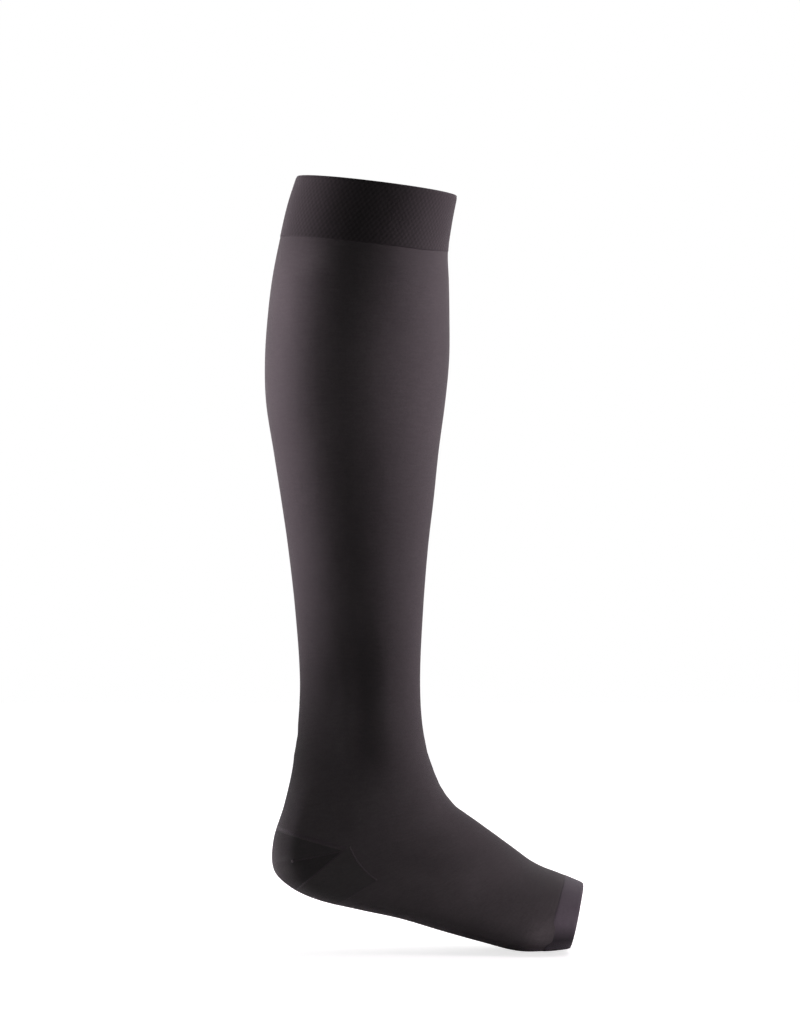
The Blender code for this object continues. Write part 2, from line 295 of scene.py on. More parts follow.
def yarnToneGroup():
    # slow drifts of tone over the cloth, faint lines along its courses, a little difference from stitch
    # to stitch, and a shade for each point
    inputs = [
        ("Place", "NodeSocketVector", None),
        ("Cloth", "NodeSocketVector", None),
        ("Cell", "NodeSocketFloat", 0.5),
        ("Shade", "NodeSocketFloat", 1.0),
        ("Dark", "NodeSocketColor", (0.01, 0.01, 0.01, 1)),
        ("Light", "NodeSocketColor", (0.03, 0.03, 0.03, 1)),
        ("Drift Scale", "NodeSocketFloat", 18.0),
        ("Speckle", "NodeSocketFloat", 0.5),
        ("Streaks", "NodeSocketFloat", 0.3),
    ]
    outputs = [("Color", "NodeSocketColor"), ("Drift", "NodeSocketFloat")]
    group, start, end = newGroup("yarnTone", inputs, outputs)
    drift = addNode(group, "ShaderNodeTexNoise", (-900, 0))
    drift.inputs["Detail"].default_value = yarnForm["driftDetail"]
    drift.inputs["Roughness"].default_value = yarnForm["driftRoughness"]
    group.links.new(start["Place"], drift.inputs["Vector"])
    group.links.new(start["Drift Scale"], drift.inputs["Scale"])
    driftLimits = yarnForm["driftFrom"], yarnForm["driftTo"]
    spread = rangeNode(group, (-700, 0), drift.outputs["Fac"], *driftLimits)
    lengthened = addNode(group, "ShaderNodeVectorMath", (-1000, -450), operation="MULTIPLY")
    lengthened.inputs[1].default_value = yarnForm["lineScale"]
    group.links.new(start["Cloth"], lengthened.inputs[0])
    lines = addNode(group, "ShaderNodeTexNoise", (-820, -450), noise_dimensions="2D")
    lines.inputs["Scale"].default_value = 1.0
    lines.inputs["Detail"].default_value = yarnForm["lineDetail"]
    group.links.new(lengthened.outputs[0], lines.inputs["Vector"])
    evened = mathNode(group, "SUBTRACT", (-640, -450), lines.outputs["Fac"], 0.5)
    lined = mathNode(group, "MULTIPLY", (-520, -450), evened, yarnForm["lineGain"])
    streaked = mathNode(group, "MULTIPLY", (-400, -450), lined, start["Streaks"])
    centred = mathNode(group, "SUBTRACT", (-700, -250), start["Cell"], 0.5)
    speckle = mathNode(group, "MULTIPLY", (-520, -250), centred, start["Speckle"])
    marked = mathNode(group, "ADD", (-400, -250), speckle, streaked)
    share = mathNode(group, "ADD", (-280, -100), spread, marked)
    blend = addNode(group, "ShaderNodeMix", (-100, 0), data_type="RGBA")
    blend.clamp_factor = False
    group.links.new(share, blend.inputs["Factor"])
    group.links.new(start["Dark"], socketNamed(blend.inputs, "A", "RGBA"))
    group.links.new(start["Light"], socketNamed(blend.inputs, "B", "RGBA"))
    shaded = addNode(group, "ShaderNodeVectorMath", (150, 0), operation="SCALE")
    group.links.new(socketNamed(blend.outputs, "Result", "RGBA"), shaded.inputs[0])
    group.links.new(start["Shade"], shaded.inputs["Scale"])
    group.links.new(shaded.outputs[0], end["Color"])
    group.links.new(spread, end["Drift"])
    return group


knitStitch = knitStitchGroup()
yarnTone = yarnToneGroup()

# what each finish is: two tones, gloss, sheen at the edges, and the gauge of its knit, as wales round
# and courses per metre
finishes = {
    "bodyKnit": {
        "dark": (0.0360, 0.0330, 0.0338), "light": (0.0475, 0.0435, 0.0445), "roughness": 0.64,
        "gloss": 0.10, "sheen": 0.03, "sheenTint": (0.85, 0.74, 0.82), "wales": 400, "courses": 1500,
        "bump": 0.00010, "streaks": 0.16,
    },
    "bandKnit": {
        "dark": (0.0310, 0.0282, 0.0290), "light": (0.0412, 0.0376, 0.0388), "roughness": 0.72,
        "gloss": 0.08, "sheen": 0.26, "sheenTint": (0.85, 0.76, 0.82), "wales": 524, "courses": 1500,
        "bump": 0.00004, "streaks": 0.10,
    },
    "heelKnit": {
        "dark": (0.0275, 0.0262, 0.0262), "light": (0.0350, 0.0334, 0.0334), "roughness": 0.72,
        "gloss": 0.08, "sheen": 0.04, "sheenTint": (0.80, 0.76, 0.80), "wales": 400, "courses": 1900,
        "bump": 0.00012, "streaks": 0.14,
    },
    "gussetKnit": {
        "dark": (0.0325, 0.0312, 0.0308), "light": (0.0415, 0.0398, 0.0394), "roughness": 0.68,
        "gloss": 0.09, "sheen": 0.03, "sheenTint": (0.82, 0.74, 0.80), "wales": 400, "courses": 1700,
        "bump": 0.00010, "streaks": 0.14,
    },
    "hemKnit": {
        "dark": (0.0618, 0.0540, 0.0630), "light": (0.0780, 0.0682, 0.0792), "roughness": 0.62,
        "gloss": 0.12, "sheen": 0.05, "sheenTint": (0.82, 0.76, 0.86), "wales": 400, "courses": 1800,
        "bump": 0.00008, "streaks": 0.12,
    },
    "insideKnit": {
        "dark": (0.0460, 0.0400, 0.0440), "light": (0.0600, 0.0530, 0.0570), "roughness": 0.80,
        "gloss": 0.06, "sheen": 0.05, "sheenTint": (0.80, 0.76, 0.80), "wales": 400, "courses": 750,
        "bump": 0.00016, "streaks": 0.20,
    },
    "goreThread": {
        "dark": (0.0560, 0.0470, 0.0530), "light": (0.0760, 0.0650, 0.0720), "roughness": 0.55,
        "gloss": 0.16, "sheen": 0.05, "sheenTint": (0.85, 0.76, 0.82), "wales": 1, "courses": 2500,
        "bump": 0.00005, "streaks": 0.0,
    },
}
everyFinish = {"roughnessSpread": 0.08, "bumpStrength": 0.8, "sheenRoughness": 0.35}


def knitMaterial(name):
    finish = finishes[name]
    material = bpy.data.materials.new(name)
    material.use_nodes = True
    tree = material.node_tree
    shader = tree.nodes["Principled BSDF"]
    clothUv = addNode(tree, "ShaderNodeUVMap", (-1100, 0), uv_map="cloth")
    objectPlace = addNode(tree, "ShaderNodeTexCoord", (-1100, -300))
    stitch = addNode(tree, "ShaderNodeGroup", (-850, 0), node_tree=knitStitch)
    stitch.inputs["Wales Round"].default_value = finish["wales"]
    stitch.inputs["Courses Per Metre"].default_value = finish["courses"]
    tree.links.new(clothUv.outputs["UV"], stitch.inputs["Cloth"])
    tone = addNode(tree, "ShaderNodeGroup", (-550, 100), node_tree=yarnTone)
    tone.inputs["Dark"].default_value = (*finish["dark"], 1)
    tone.inputs["Light"].default_value = (*finish["light"], 1)
    tone.inputs["Streaks"].default_value = finish["streaks"]
    shade = addNode(tree, "ShaderNodeAttribute", (-850, -500), attribute_name="shade")
    tree.links.new(objectPlace.outputs["Object"], tone.inputs["Place"])
    tree.links.new(clothUv.outputs["UV"], tone.inputs["Cloth"])
    tree.links.new(stitch.outputs["Cell"], tone.inputs["Cell"])
    tree.links.new(shade.outputs["Fac"], tone.inputs["Shade"])
    tree.links.new(tone.outputs["Color"], shader.inputs["Base Color"])
    spread = everyFinish["roughnessSpread"]
    smoothest = finish["roughness"] - spread / 2
    rough = mathNode(tree, "MULTIPLY_ADD", (-300, -100), tone.outputs["Drift"], spread, smoothest)
    tree.links.new(rough, shader.inputs["Roughness"])
    bump = addNode(tree, "ShaderNodeBump", (-300, -350))
    bump.inputs["Distance"].default_value = finish["bump"]
    bump.inputs["Strength"].default_value = everyFinish["bumpStrength"]
    tree.links.new(stitch.outputs["Height"], bump.inputs["Height"])
    tree.links.new(bump.outputs["Normal"], shader.inputs["Normal"])
    shader.inputs["Specular IOR Level"].default_value = finish["gloss"]
    shader.inputs["Sheen Weight"].default_value = finish["sheen"]
    shader.inputs["Sheen Roughness"].default_value = everyFinish["sheenRoughness"]
    shader.inputs["Sheen Tint"].default_value = (*finish["sheenTint"], 1)
    return material


materials = {name: knitMaterial(name) for name in finishes}
print("materials made")

# the body of the stocking: one tube of cloth from the band to the toe hem. The painted shading is how
# much lighter or darker its knit is painted at places down from the top edge: painted light on the calf
# and over the ball of the foot, painted shade above the ankle
bodyCloth = {
    "rings": 250, "pointsRound": 160, "thickness": 0.0010, "smoothAngle": 50, "paintedCreaseShade": 140,
    "paintedShadingPlaces": (0.038, 0.068, 0.140, 0.160, 0.185, 0.208, 0.257, 0.287, 0.548, 0.570, 0.595),
    "paintedShadingValues": (1.06, 1.20, 1.22, 1.14, 1.02, 0.94, 0.93, 1.00, 1.00, 1.10, 1.24),
}

# soft creases, as lines on the cloth: metres from the top edge and shares of the way round
# (0 is the back line, 0.25 the outer side, 0.5 the front line, 0.75 the inner side). Each also paints shade
# in its trough and light on its ridge; with paintedShadeGain, that painted shade or light is that many
# times what its depth alone would give
creaseRunOut = 0.3
creases = [
    {"from": (0.352, 0.46), "to": (0.356, 0.56), "depth": -0.00020, "width": 0.0045},
    {"from": (0.366, 0.44), "to": (0.364, 0.57), "depth": 0.00015, "width": 0.0050},
    {"from": (0.378, 0.43), "to": (0.384, 0.55), "depth": -0.00025, "width": 0.0050},
    {"from": (0.392, 0.47), "to": (0.389, 0.61), "depth": -0.00020, "width": 0.0060},
    {"from": (0.372, 0.57), "to": (0.381, 0.67), "depth": -0.00045, "width": 0.0045},
    {"from": (0.383, 0.215), "to": (0.412, 0.228), "depth": -0.0009, "width": 0.0075},
    {"from": (0.336, 0.96), "to": (0.341, 1.05), "depth": -0.0004, "width": 0.0050},
    {"from": (0.352, 0.94), "to": (0.350, 1.03), "depth": 0.0003, "width": 0.0045},
    {"from": (0.290, 0.16), "to": (0.330, 0.19), "depth": -0.0005, "width": 0.0080},
    {"from": (0.295, 0.84), "to": (0.335, 0.82), "depth": -0.0005, "width": 0.0080},
    {"from": (0.415, 0.70), "to": (0.450, 0.735), "depth": -0.0006, "width": 0.0050},
    {"from": (0.566, 0.200), "to": (0.592, 0.212), "depth": 0.0018, "width": 0.0110},
    {"from": (0.430, 0.66), "to": (0.462, 0.69), "depth": 0.0004, "width": 0.0055},
    {"from": (0.268, 0.259), "to": (0.350, 0.263), "depth": -0.0012, "width": 0.0120, "paintedShadeGain": 2.2},
    {"from": (0.335, 0.276), "to": (0.366, 0.292), "depth": -0.0004, "width": 0.0170, "paintedShadeGain": 4.0},
    {"from": (0.304, 0.206), "to": (0.356, 0.210), "depth": 0.0009, "width": 0.0110, "paintedShadeGain": 2.2},
    {"from": (0.376, 0.275), "to": (0.404, 0.322), "depth": 0.0004, "width": 0.0200, "paintedShadeGain": 3.5},
    {"from": (0.424, 0.283), "to": (0.484, 0.315), "depth": -0.00025, "width": 0.0220, "paintedShadeGain": 6.0},
    {"from": (0.075, 0.278), "to": (0.150, 0.276), "depth": 0.0003, "width": 0.0180, "paintedShadeGain": 4.0},
    {"from": (0.042, 0.105), "to": (0.085, 0.095), "depth": 0.0003, "width": 0.0260, "paintedShadeGain": 5.0},
    {"from": (0.070, 0.720), "to": (0.150, 0.725), "depth": 0.0003, "width": 0.0200, "paintedShadeGain": 3.0},
    {"from": (0.432, 0.700), "to": (0.490, 0.680), "depth": -0.0002, "width": 0.0190, "paintedShadeGain": 5.0},
    {"from": (0.276, 0.735), "to": (0.348, 0.728), "depth": -0.0008, "width": 0.0120},
    {"from": (0.306, 0.797), "to": (0.350, 0.792), "depth": 0.0006, "width": 0.0120},
    {"from": (0.415, 0.352), "to": (0.450, 0.366), "depth": -0.00015, "width": 0.0170, "paintedShadeGain": 8.0},
    {"from": (0.041, 0.170), "to": (0.062, 0.167), "depth": 0.0002, "width": 0.0170, "paintedShadeGain": 14.0},
    {"from": (0.072, 0.118), "to": (0.110, 0.116), "depth": 0.0001, "width": 0.0150, "paintedShadeGain": 8.0},
    {"from": (0.056, 0.452), "to": (0.140, 0.455), "depth": -0.0001, "width": 0.0130, "paintedShadeGain": 11.0},
    {"from": (0.528, 0.165), "to": (0.556, 0.150), "depth": -0.00015, "width": 0.0130, "paintedShadeGain": 6.0},
]


def creaseHeights(places, count, roundLength):
    # how far each point of the grid is pushed out or in by the creases, and the painted shade or light that
    # gives the cloth, darker in troughs and lighter on ridges; a crease runs out over a share of its length
    # beyond each end
    share = np.arange(count) / count
    heights = np.zeros((len(places), count))
    paintedCreaseShading = np.zeros((len(places), count))
    for crease in creases:
        start, end = np.array(crease["from"]), np.array(crease["to"])
        along = places[:, None] - start[0]
        turn = (share[None, :] - start[1] + 0.5) % 1.0 - 0.5
        across = turn * roundLength[:, None]
        run = np.array([end[0] - start[0], (end[1] - start[1]) * roundLength.mean()])
        length = np.hypot(*run)
        unit = run / length
        t = (along * unit[0] + across * unit[1]) / length
        off = along * unit[1] - across * unit[0]
        through = (np.clip(t, -creaseRunOut, 1 + creaseRunOut) + creaseRunOut) / (1 + 2 * creaseRunOut)
        fade = np.sin(math.pi * through) ** 2
        height = crease["depth"] * fade * np.exp(-((off / crease["width"]) ** 2) * 2)
        heights += height
        paintedCreaseShading += crease.get("paintedShadeGain", 1.0) * height
    return heights, paintedCreaseShading


def bodyGrid(rings, count):
    places = np.linspace(placeOf("bandSeam"), placeOf("toeSeam"), rings)
    grid = clothRings(places, count)
    roundLength = np.linalg.norm(np.roll(grid, -1, axis=1) - grid, axis=2).sum(axis=1)
    heights, paintedCreaseShading = creaseHeights(places, count, roundLength)
    return grid + outwards(grid) * heights[:, :, None], places, paintedCreaseShading


# the seams, seen from the side as points (x, z) and directions from them in degrees
seams = {
    "corner": (-0.0170, -0.3803), "gussetTop": (-0.0131, -0.3776), "gussetTip": (0.0033, -0.3977),
    "legToHeel": 165.0, "heelMiddle": 192.5, "heelToGusset": 221.0, "gussetToFoot": 212.3,
    "archSag": 0.0021, "archSteps": 8, "reach": 0.12, "farReach": 0.18, "middleReach": 0.0305,
    "cutMargin": 0.0012, "cutSide": 0.0036, "snap": 1e-7,
}


def aim(start, degrees, reach):
    # the point that far from the start in a direction
    angle = math.radians(degrees)
    return (start[0] + reach * math.cos(angle), start[1] + reach * math.sin(angle))


def gussetArc():
    # the gusset's upper edge sags a little between its corner and its tip
    (x0, z0), (x1, z1) = seams["gussetTop"], seams["gussetTip"]
    length = math.hypot(x1 - x0, z1 - z0)
    side = ((z1 - z0) / length, -(x1 - x0) / length)
    points = []
    for i in range(seams["archSteps"] + 1):
        t = i / seams["archSteps"]
        sag = 4 * seams["archSag"] * t * (1 - t)
        points.append((x0 + (x1 - x0) * t + side[0] * sag, z0 + (z1 - z0) * t + side[1] * sag))
    return points


def inside(point, outline):
    # true where a line from the point crosses the outline an odd number of times
    found = False
    for (x0, z0), (x1, z1) in zip(outline, outline[1:] + outline[:1]):
        if (z0 > point[1]) != (z1 > point[1]):
            if point[0] < x0 + (x1 - x0) * (point[1] - z0) / (z1 - z0):
                found = not found
    return found


corner, top, tip = seams["corner"], seams["gussetTop"], seams["gussetTip"]
heelOutline = [
    corner, aim(corner, seams["legToHeel"], seams["reach"]),
    aim(corner, (seams["legToHeel"] + seams["heelToGusset"]) / 2, seams["farReach"]),
    aim(corner, seams["heelToGusset"], seams["reach"]),
]
gussetOutline = gussetArc()[::-1] + [
    corner, aim(corner, seams["heelToGusset"], seams["reach"]),
    aim(tip, seams["gussetToFoot"], seams["reach"]),
]
seamLines = [
    (corner, aim(corner, seams["legToHeel"], seams["reach"])),
    (corner, aim(corner, seams["heelMiddle"], seams["reach"])),
    (corner, aim(corner, seams["heelToGusset"], seams["reach"])),
    (tip, aim(tip, seams["gussetToFoot"], seams["reach"])),
    (corner, top),
] + list(zip(gussetArc(), gussetArc()[1:]))


def inHeel(point):
    return inside(point, heelOutline)


def inGusset(point):
    return inside(point, gussetOutline) and not inHeel(point)


def cutAlong(bm, start, end):
    # splits the faces that a seam crosses, seen from the side
    run = Vector((end[0] - start[0], 0, end[1] - start[1]))
    length = run.length
    run.normalize()
    normal = Vector((-run.z, 0, run.x))
    base = Vector((start[0], 0, start[1]))
    margin = seams["cutMargin"]
    faces = []
    for face in bm.faces:
        offset = face.calc_center_median() - base
        if -margin < offset.dot(run) < length + margin and abs(offset.dot(normal)) < seams["cutSide"]:
            faces.append(face)
    geometry = set(faces)
    for face in faces:
        geometry.update(face.edges)
        geometry.update(face.verts)
    bmesh.ops.bisect_plane(bm, geom=list(geometry), dist=seams["snap"], plane_co=base, plane_no=normal)


def stretchOfBody(name, uncut, keeps):
    bm = uncut.copy()
    gone = []
    for face in bm.faces:
        centre = face.calc_center_median()
        if not keeps((centre.x, centre.z)):
            gone.append(face)
    bmesh.ops.delete(bm, geom=gone, context="FACES")
    mesh = bpy.data.meshes.new(name)
    bm.to_mesh(mesh)
    bm.free()
    return addObject(name, mesh)


def makeShell(obj, finish, nodes):
    # a wall of cloth inwards from the outer face, with the knit's other side within
    obj.data.materials.append(materials[finish])
    obj.data.materials.append(materials["insideKnit"])
    wall = obj.modifiers.new("wall", "SOLIDIFY")
    wall.thickness = bodyCloth["thickness"]
    wall.offset = -1.0
    wall.use_even_offset = True
    wall.material_offset = 1
    wall.material_offset_rim = 0
    applyAll(obj)
    bpy.ops.object.shade_smooth_by_angle(angle=math.radians(bodyCloth["smoothAngle"]))
    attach(obj, "root")
    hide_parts(*nodes)


# the heel pocket: its lower half is darker, and over the curve of the heel it has a painted highlight,
# which makes it lighter there
pocket = {
    "lowerShade": 0.80, "lineWidth": 1e-5, "paintedLightAt": (-0.0504, -0.3920), "paintedLightReach": 0.0070,
    "paintedLightGain": 0.75,
}


def heelShades(obj):
    angle = math.radians(seams["heelMiddle"])
    shades = []
    for vertex in obj.data.vertices:
        x, z = vertex.co.x - corner[0], vertex.co.z - corner[1]
        below = x * math.sin(angle) - z * math.cos(angle)
        # a painted highlight, lighter round one point on the curve of the heel
        off = math.dist((vertex.co.x, vertex.co.z), pocket["paintedLightAt"]) / pocket["paintedLightReach"]
        paintedHeelLight = 1 + pocket["paintedLightGain"] * math.exp(-(off ** 2))
        shades.append(paintedHeelLight * (pocket["lowerShade"] if below < pocket["lineWidth"] else 1.0))
    return np.array(shades)


def makeBody():
    grid, places, paintedCreaseShading = bodyGrid(bodyCloth["rings"], bodyCloth["pointsRound"])
    across = np.arange(bodyCloth["pointsRound"] + 1) / bodyCloth["pointsRound"]
    whole = meshFromRings("bodyUncut", grid, across, np.interp(places, ringPlaces, coursePlaces))
    # painted light over a swelling and painted shade in a hollow, times the painted shading down the leg
    paintedShadingDown = np.interp(places, bodyCloth["paintedShadingPlaces"], bodyCloth["paintedShadingValues"])
    setShade(whole, ((1 + bodyCloth["paintedCreaseShade"] * paintedCreaseShading) * paintedShadingDown[:, None]).ravel())
    bm = bmesh.new()
    bm.from_mesh(whole.data)
    for start, end in seamLines:
        cutAlong(bm, start, end)
    heel = stretchOfBody("heelPocket", bm, inHeel)
    gusset = stretchOfBody("heelGusset", bm, inGusset)
    body = stretchOfBody("legAndFoot", bm, lambda point: not inHeel(point) and not inGusset(point))
    surface = BVHTree.FromBMesh(bm)
    bm.free()
    bpy.data.objects.remove(whole)
    makeShell(body, "bodyKnit", ["leg", "foot"])
    setShade(heel, heelShades(heel))
    makeShell(heel, "heelKnit", ["heel"])
    makeShell(gusset, "gussetKnit", ["heel_gusset"])
    return body, heel, gusset, surface


body, heel, gusset, bodySurface = makeBody()
print("body cloth made:", [len(piece.data.polygons) for piece in (body, heel, gusset)])

# the band below the knee: double cloth, folded over at the top edge, with a slanting diamond relief.
# The bows are how much further down its seam lies, from the back line round to the front line
band = {
    "cellsRound": 103, "cellsDown": 8.5, "samples": 8, "reliefDepth": 0.00006, "lift": 0.00020,
    "risingRelief": 0.32, "fallingRelief": 0.18, "pitPaintedShade": 0.56, "thickness": 0.0022, "foldRows": 8,
    "insideRows": 10, "seamRound": 0.0008, "seamBows": (0.0006, 0.0011, 0.0020, 0.0027, 0.0006),
}


def roundBows(bows, fromBack):
    # values spread evenly from the back line round to the front line, joined smoothly
    bows = np.array(bows)
    turn = fromBack * 2 * (len(bows) - 1)
    i = np.minimum(turn.astype(int), len(bows) - 2)
    ease = (turn - i) ** 2 * (3 - 2 * (turn - i))
    return bows[i] + (bows[i + 1] - bows[i]) * ease


def bowedRings(starts, ends, rowCount, fineCount=120):
    # rings between two lines that run unevenly round the cloth, given as a place for each point
    fine = np.linspace(min(starts.min(), ends.min()), max(starts.max(), ends.max()), fineCount)
    rings = clothRings(fine, len(starts))
    grid = np.empty((rowCount, len(starts), 3))
    for k in range(len(starts)):
        wanted = np.linspace(starts[k], ends[k], rowCount)
        for axis in range(3):
            grid[:, k, axis] = np.interp(wanted, fine, rings[:, k, axis])
    return grid


def foldedStrip(places, grid, normals, lift, thickness, foldRows, insideRows, foldPower=0.5):
    # double cloth: an inner face, a fold at the first ring, a little squarer than round, and an outer
    # face raised by lift
    radius = thickness / 2
    down = np.gradient(grid, axis=0)
    down /= np.linalg.norm(down, axis=2, keepdims=True)
    rows, marks = [], []
    first, firstOut, firstDown = grid[0], normals[0], down[0]
    for place in np.linspace(places[-1], places[0], insideRows):
        i = int(np.argmin(np.abs(places - place)))
        rows.append(grid[i] - normals[i] * thickness)
        marks.append(place)
    for step in range(1, foldRows):
        angle = math.pi * step / foldRows
        centre = first - firstOut * radius
        inwards = radius * math.copysign(abs(math.cos(angle)) ** foldPower, math.cos(angle))
        rows.append(centre - firstOut * inwards - firstDown * radius * math.sin(angle) ** foldPower)
        marks.append(places[0] - radius * math.sin(angle))
    for i, place in enumerate(places):
        rows.append(grid[i] + normals[i] * lift[i][:, None])
        marks.append(place)
    return np.array(rows), np.array(marks)


def makeBand():
    count = band["cellsRound"] * band["samples"]
    rowCount = int(band["cellsDown"] * band["samples"])
    top, seam = band["thickness"] / 2, placeOf("bandSeam")
    places = np.linspace(top, seam, rowCount)
    share = np.arange(count) / count
    seamLine = seam + roundBows(band["seamBows"], np.minimum(share, 1 - share))
    grid = bowedRings(np.full(count, top), seamLine, rowCount)
    normals = outwards(grid)
    across = np.arange(count)[None, :] / band["samples"]
    along = np.arange(rowCount)[:, None] / band["samples"]
    rising = np.cos(2 * math.pi * (across + along))
    falling = np.cos(2 * math.pi * (across - along))
    relief = 0.5 + band["risingRelief"] * rising + band["fallingRelief"] * falling
    edge = np.clip(np.minimum(places - top, seam - places) / band["seamRound"], 0, 1)
    edge = np.sin(edge * math.pi / 2)[:, None]
    lift = (relief * band["reliefDepth"] + band["lift"]) * edge
    rows, marks = foldedStrip(
        places, grid, normals, lift, band["thickness"], band["foldRows"], band["insideRows"]
    )
    obj = meshFromRings("kneeBand", rows, np.arange(count + 1) / count, marks, closed=True)
    shades = np.ones(rows.shape[:2])
    # painted shade: the relief's hollows are painted darker than its ridges
    shades[-rowCount:] = band["pitPaintedShade"] + (1 - band["pitPaintedShade"]) * relief / relief.max()
    setShade(obj, shades.ravel())
    obj.data.materials.append(materials["bandKnit"])
    selectOnly(obj)
    bpy.ops.object.shade_smooth()
    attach(obj, "root")
    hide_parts("top_band")
    return obj


kneeBand = makeBand()
print("band made:", len(kneeBand.data.polygons))

# the hem of the open toe: cloth folded under and knitted in, darker along its seam and under the foot.
# The bows are how far its edge and its seam lie back, from the sole's line round to the instep's
toe = {
    "pointsRound": 260, "rings": 34, "thickness": 0.0018, "lift": 0.0002, "foldRows": 8, "insideRows": 8,
    "seamRound": 0.0010, "shadedPlaces": (0, 0.0011, 0.0022), "seamShades": (0.78, 0.85, 1.0),
    "soleShares": (0.197, 0.247), "soleShades": (0.30, 1.0),
    "edgeBows": (0.0012, 0.0015, 0.0003), "seamBows": (0.0030, 0.0036, 0.0009),
}


def makeToeHem():
    count, rowCount = toe["pointsRound"], toe["rings"]
    seam, edge = placeOf("toeSeam"), placeOf("toeEdge") - toe["thickness"] / 2
    places = np.linspace(edge, seam, rowCount)
    share = np.arange(count) / count
    fromSole = np.minimum(share, 1 - share)
    edgeLine = edge - roundBows(toe["edgeBows"], fromSole)
    seamLine = seam - roundBows(toe["seamBows"], fromSole)
    grid = bowedRings(edgeLine, seamLine, rowCount)
    # the rings run from the edge back to the seam, so their normals point into the foot
    normals = -outwards(grid)
    rise = np.clip(np.minimum(edge - places, places - seam) / toe["seamRound"], 0, 1)
    lift = np.repeat((toe["lift"] * np.sin(rise * math.pi / 2))[:, None], count, axis=1)
    rows, marks = foldedStrip(
        places, grid, normals, lift, toe["thickness"], toe["foldRows"], toe["insideRows"]
    )
    obj = meshFromRings("toeHem", rows, np.arange(count + 1) / count, marks, closed=True)
    obj.data.flip_normals()
    shades = np.ones(rows.shape[:2])
    shades[-rowCount:] = np.interp(places - seam, toe["shadedPlaces"], toe["seamShades"])[:, None]
    shades *= np.interp(fromSole, toe["soleShares"], toe["soleShades"])[None, :]
    setShade(obj, shades.ravel())
    obj.data.materials.append(materials["hemKnit"])
    selectOnly(obj)
    bpy.ops.object.shade_smooth()
    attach(obj, "root")
    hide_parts("toe_band")
    return obj


toeHem = makeToeHem()
print("toe hem made:", len(toeHem.data.polygons))

# chains of stitches along the lines where the heel and its gusset are knitted in: width and height of
# a stitch, and how light its thread is
goreStitch = {"pitch": 0.0011, "length": 0.0014, "lean": 0.25, "segments": 8, "rings": 6, "knot": 0.0013}
goreChains = {
    "gussetEdge": {"width": 0.00100, "height": 0.00065, "shade": 0.92, "slot": "body_knit"},
    "heelTop": {"width": 0.00230, "height": 0.00007, "shade": 0.52, "slot": "body_knit"},
    "heelMiddle": {"width": 0.00090, "height": 0.00022, "shade": 0.41, "slot": "heel_knit"},
    "heelKnot": {"width": 0.00190, "height": 0.00120, "shade": 1.40, "slot": "heel_knit"},
    "heelFront": {"width": 0.00110, "height": 0.00022, "shade": 0.44, "slot": "gusset_knit"},
    "gussetFront": {"width": 0.00070, "height": 0.00022, "shade": 0.50, "slot": "gusset_knit"},
}


def hitFromInside(origin, direction):
    # the cloth's surface beyond a point inside the leg, and which way it faces
    place, normal, *_ = bodySurface.ray_cast(Vector(origin), Vector(direction).normalized())
    if place is None:
        return None
    return place, normal if normal.dot(Vector(direction)) > 0 else -normal


def seamRoundBack(start, degrees, swing=90, steps=160):
    # the line round the back or the sole where a plane that leaves the start cuts the cloth
    dx, dz = math.cos(math.radians(degrees)), math.sin(math.radians(degrees))
    points = []
    for i in range(steps + 1):
        turn = math.radians(-swing + 2 * swing * i / steps)
        direction = (dx * math.cos(turn), math.sin(turn), dz * math.cos(turn))
        points.append(hitFromInside((start[0], 0, start[1]), direction))
    return [found for found in points if found]


def seamOnSide(outline, side):
    # a line seen from the side, on the outer (-1) or inner (1) face of the cloth
    found = [hitFromInside((x, 0, z), (0, side, 0)) for x, z in outline]
    return [one for one in found if one]


def evenSteps(start, end, steps=24):
    return [
        (start[0] + (end[0] - start[0]) * i / steps, start[1] + (end[1] - start[1]) * i / steps)
        for i in range(steps + 1)
    ]


def stitchShape(size):
    # the points and faces of one stitch, sorted, because the sphere lists its own differently each run
    bpy.ops.object.select_all(action="DESELECT")
    bpy.ops.mesh.primitive_uv_sphere_add(
        segments=goreStitch["segments"], ring_count=goreStitch["rings"], radius=0.5
    )
    model = bpy.context.active_object
    points = np.array([vertex.co for vertex in model.data.vertices])
    order = np.lexsort(points.round(6).T)
    rank = np.argsort(order).tolist()
    faces = []
    for polygon in model.data.polygons:
        face = [rank[vertex] for vertex in polygon.vertices]
        first = face.index(min(face))
        faces.append(tuple(face[first:] + face[:first]))
    bpy.data.objects.remove(model)
    return points[order] * size, sorted(faces)


def chainOfStitches(name, lines):
    # stitches along lines of points on the cloth, each leaning the other way from the one before
    chain = goreChains[name]
    shape, faces = stitchShape((goreStitch["length"], chain["width"], chain["height"]))
    allPoints, allFaces = [], []
    for line in lines:
        run = [0.0]
        for (one, _), (two, _) in zip(line, line[1:]):
            run.append(run[-1] + (two - one).length)
        for i in range(int(run[-1] / goreStitch["pitch"])):
            target = (i + 0.5) * goreStitch["pitch"]
            k = min(bisect.bisect_right(run, target) - 1, len(line) - 2)
            t = (target - run[k]) / max(run[k + 1] - run[k], 1e-9)
            place = line[k][0].lerp(line[k + 1][0], t)
            out = line[k][1].lerp(line[k + 1][1], t).normalized()
            along = (line[k + 1][0] - line[k][0]).normalized()
            lean = goreStitch["lean"] if i % 2 else -goreStitch["lean"]
            along = (along + out.cross(along).normalized() * lean).normalized()
            across = out.cross(along).normalized()
            base = len(allPoints) * len(shape)
            allPoints.append(shape @ np.array([along, across, out]) + np.array(place))
            allFaces += [tuple(vertex + base for vertex in face) for face in faces]
    mesh = bpy.data.meshes.new(name + "Stitches")
    mesh.from_pydata(np.concatenate(allPoints).tolist(), [], allFaces)
    mesh.uv_layers.new(name="cloth")
    mesh.update()
    obj = addObject(name + "Stitches", mesh)
    setShade(obj, chain["shade"])
    obj.data.materials.append(materials["goreThread"])
    selectOnly(obj)
    bpy.ops.object.shade_smooth()
    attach(obj, "root")
    return obj


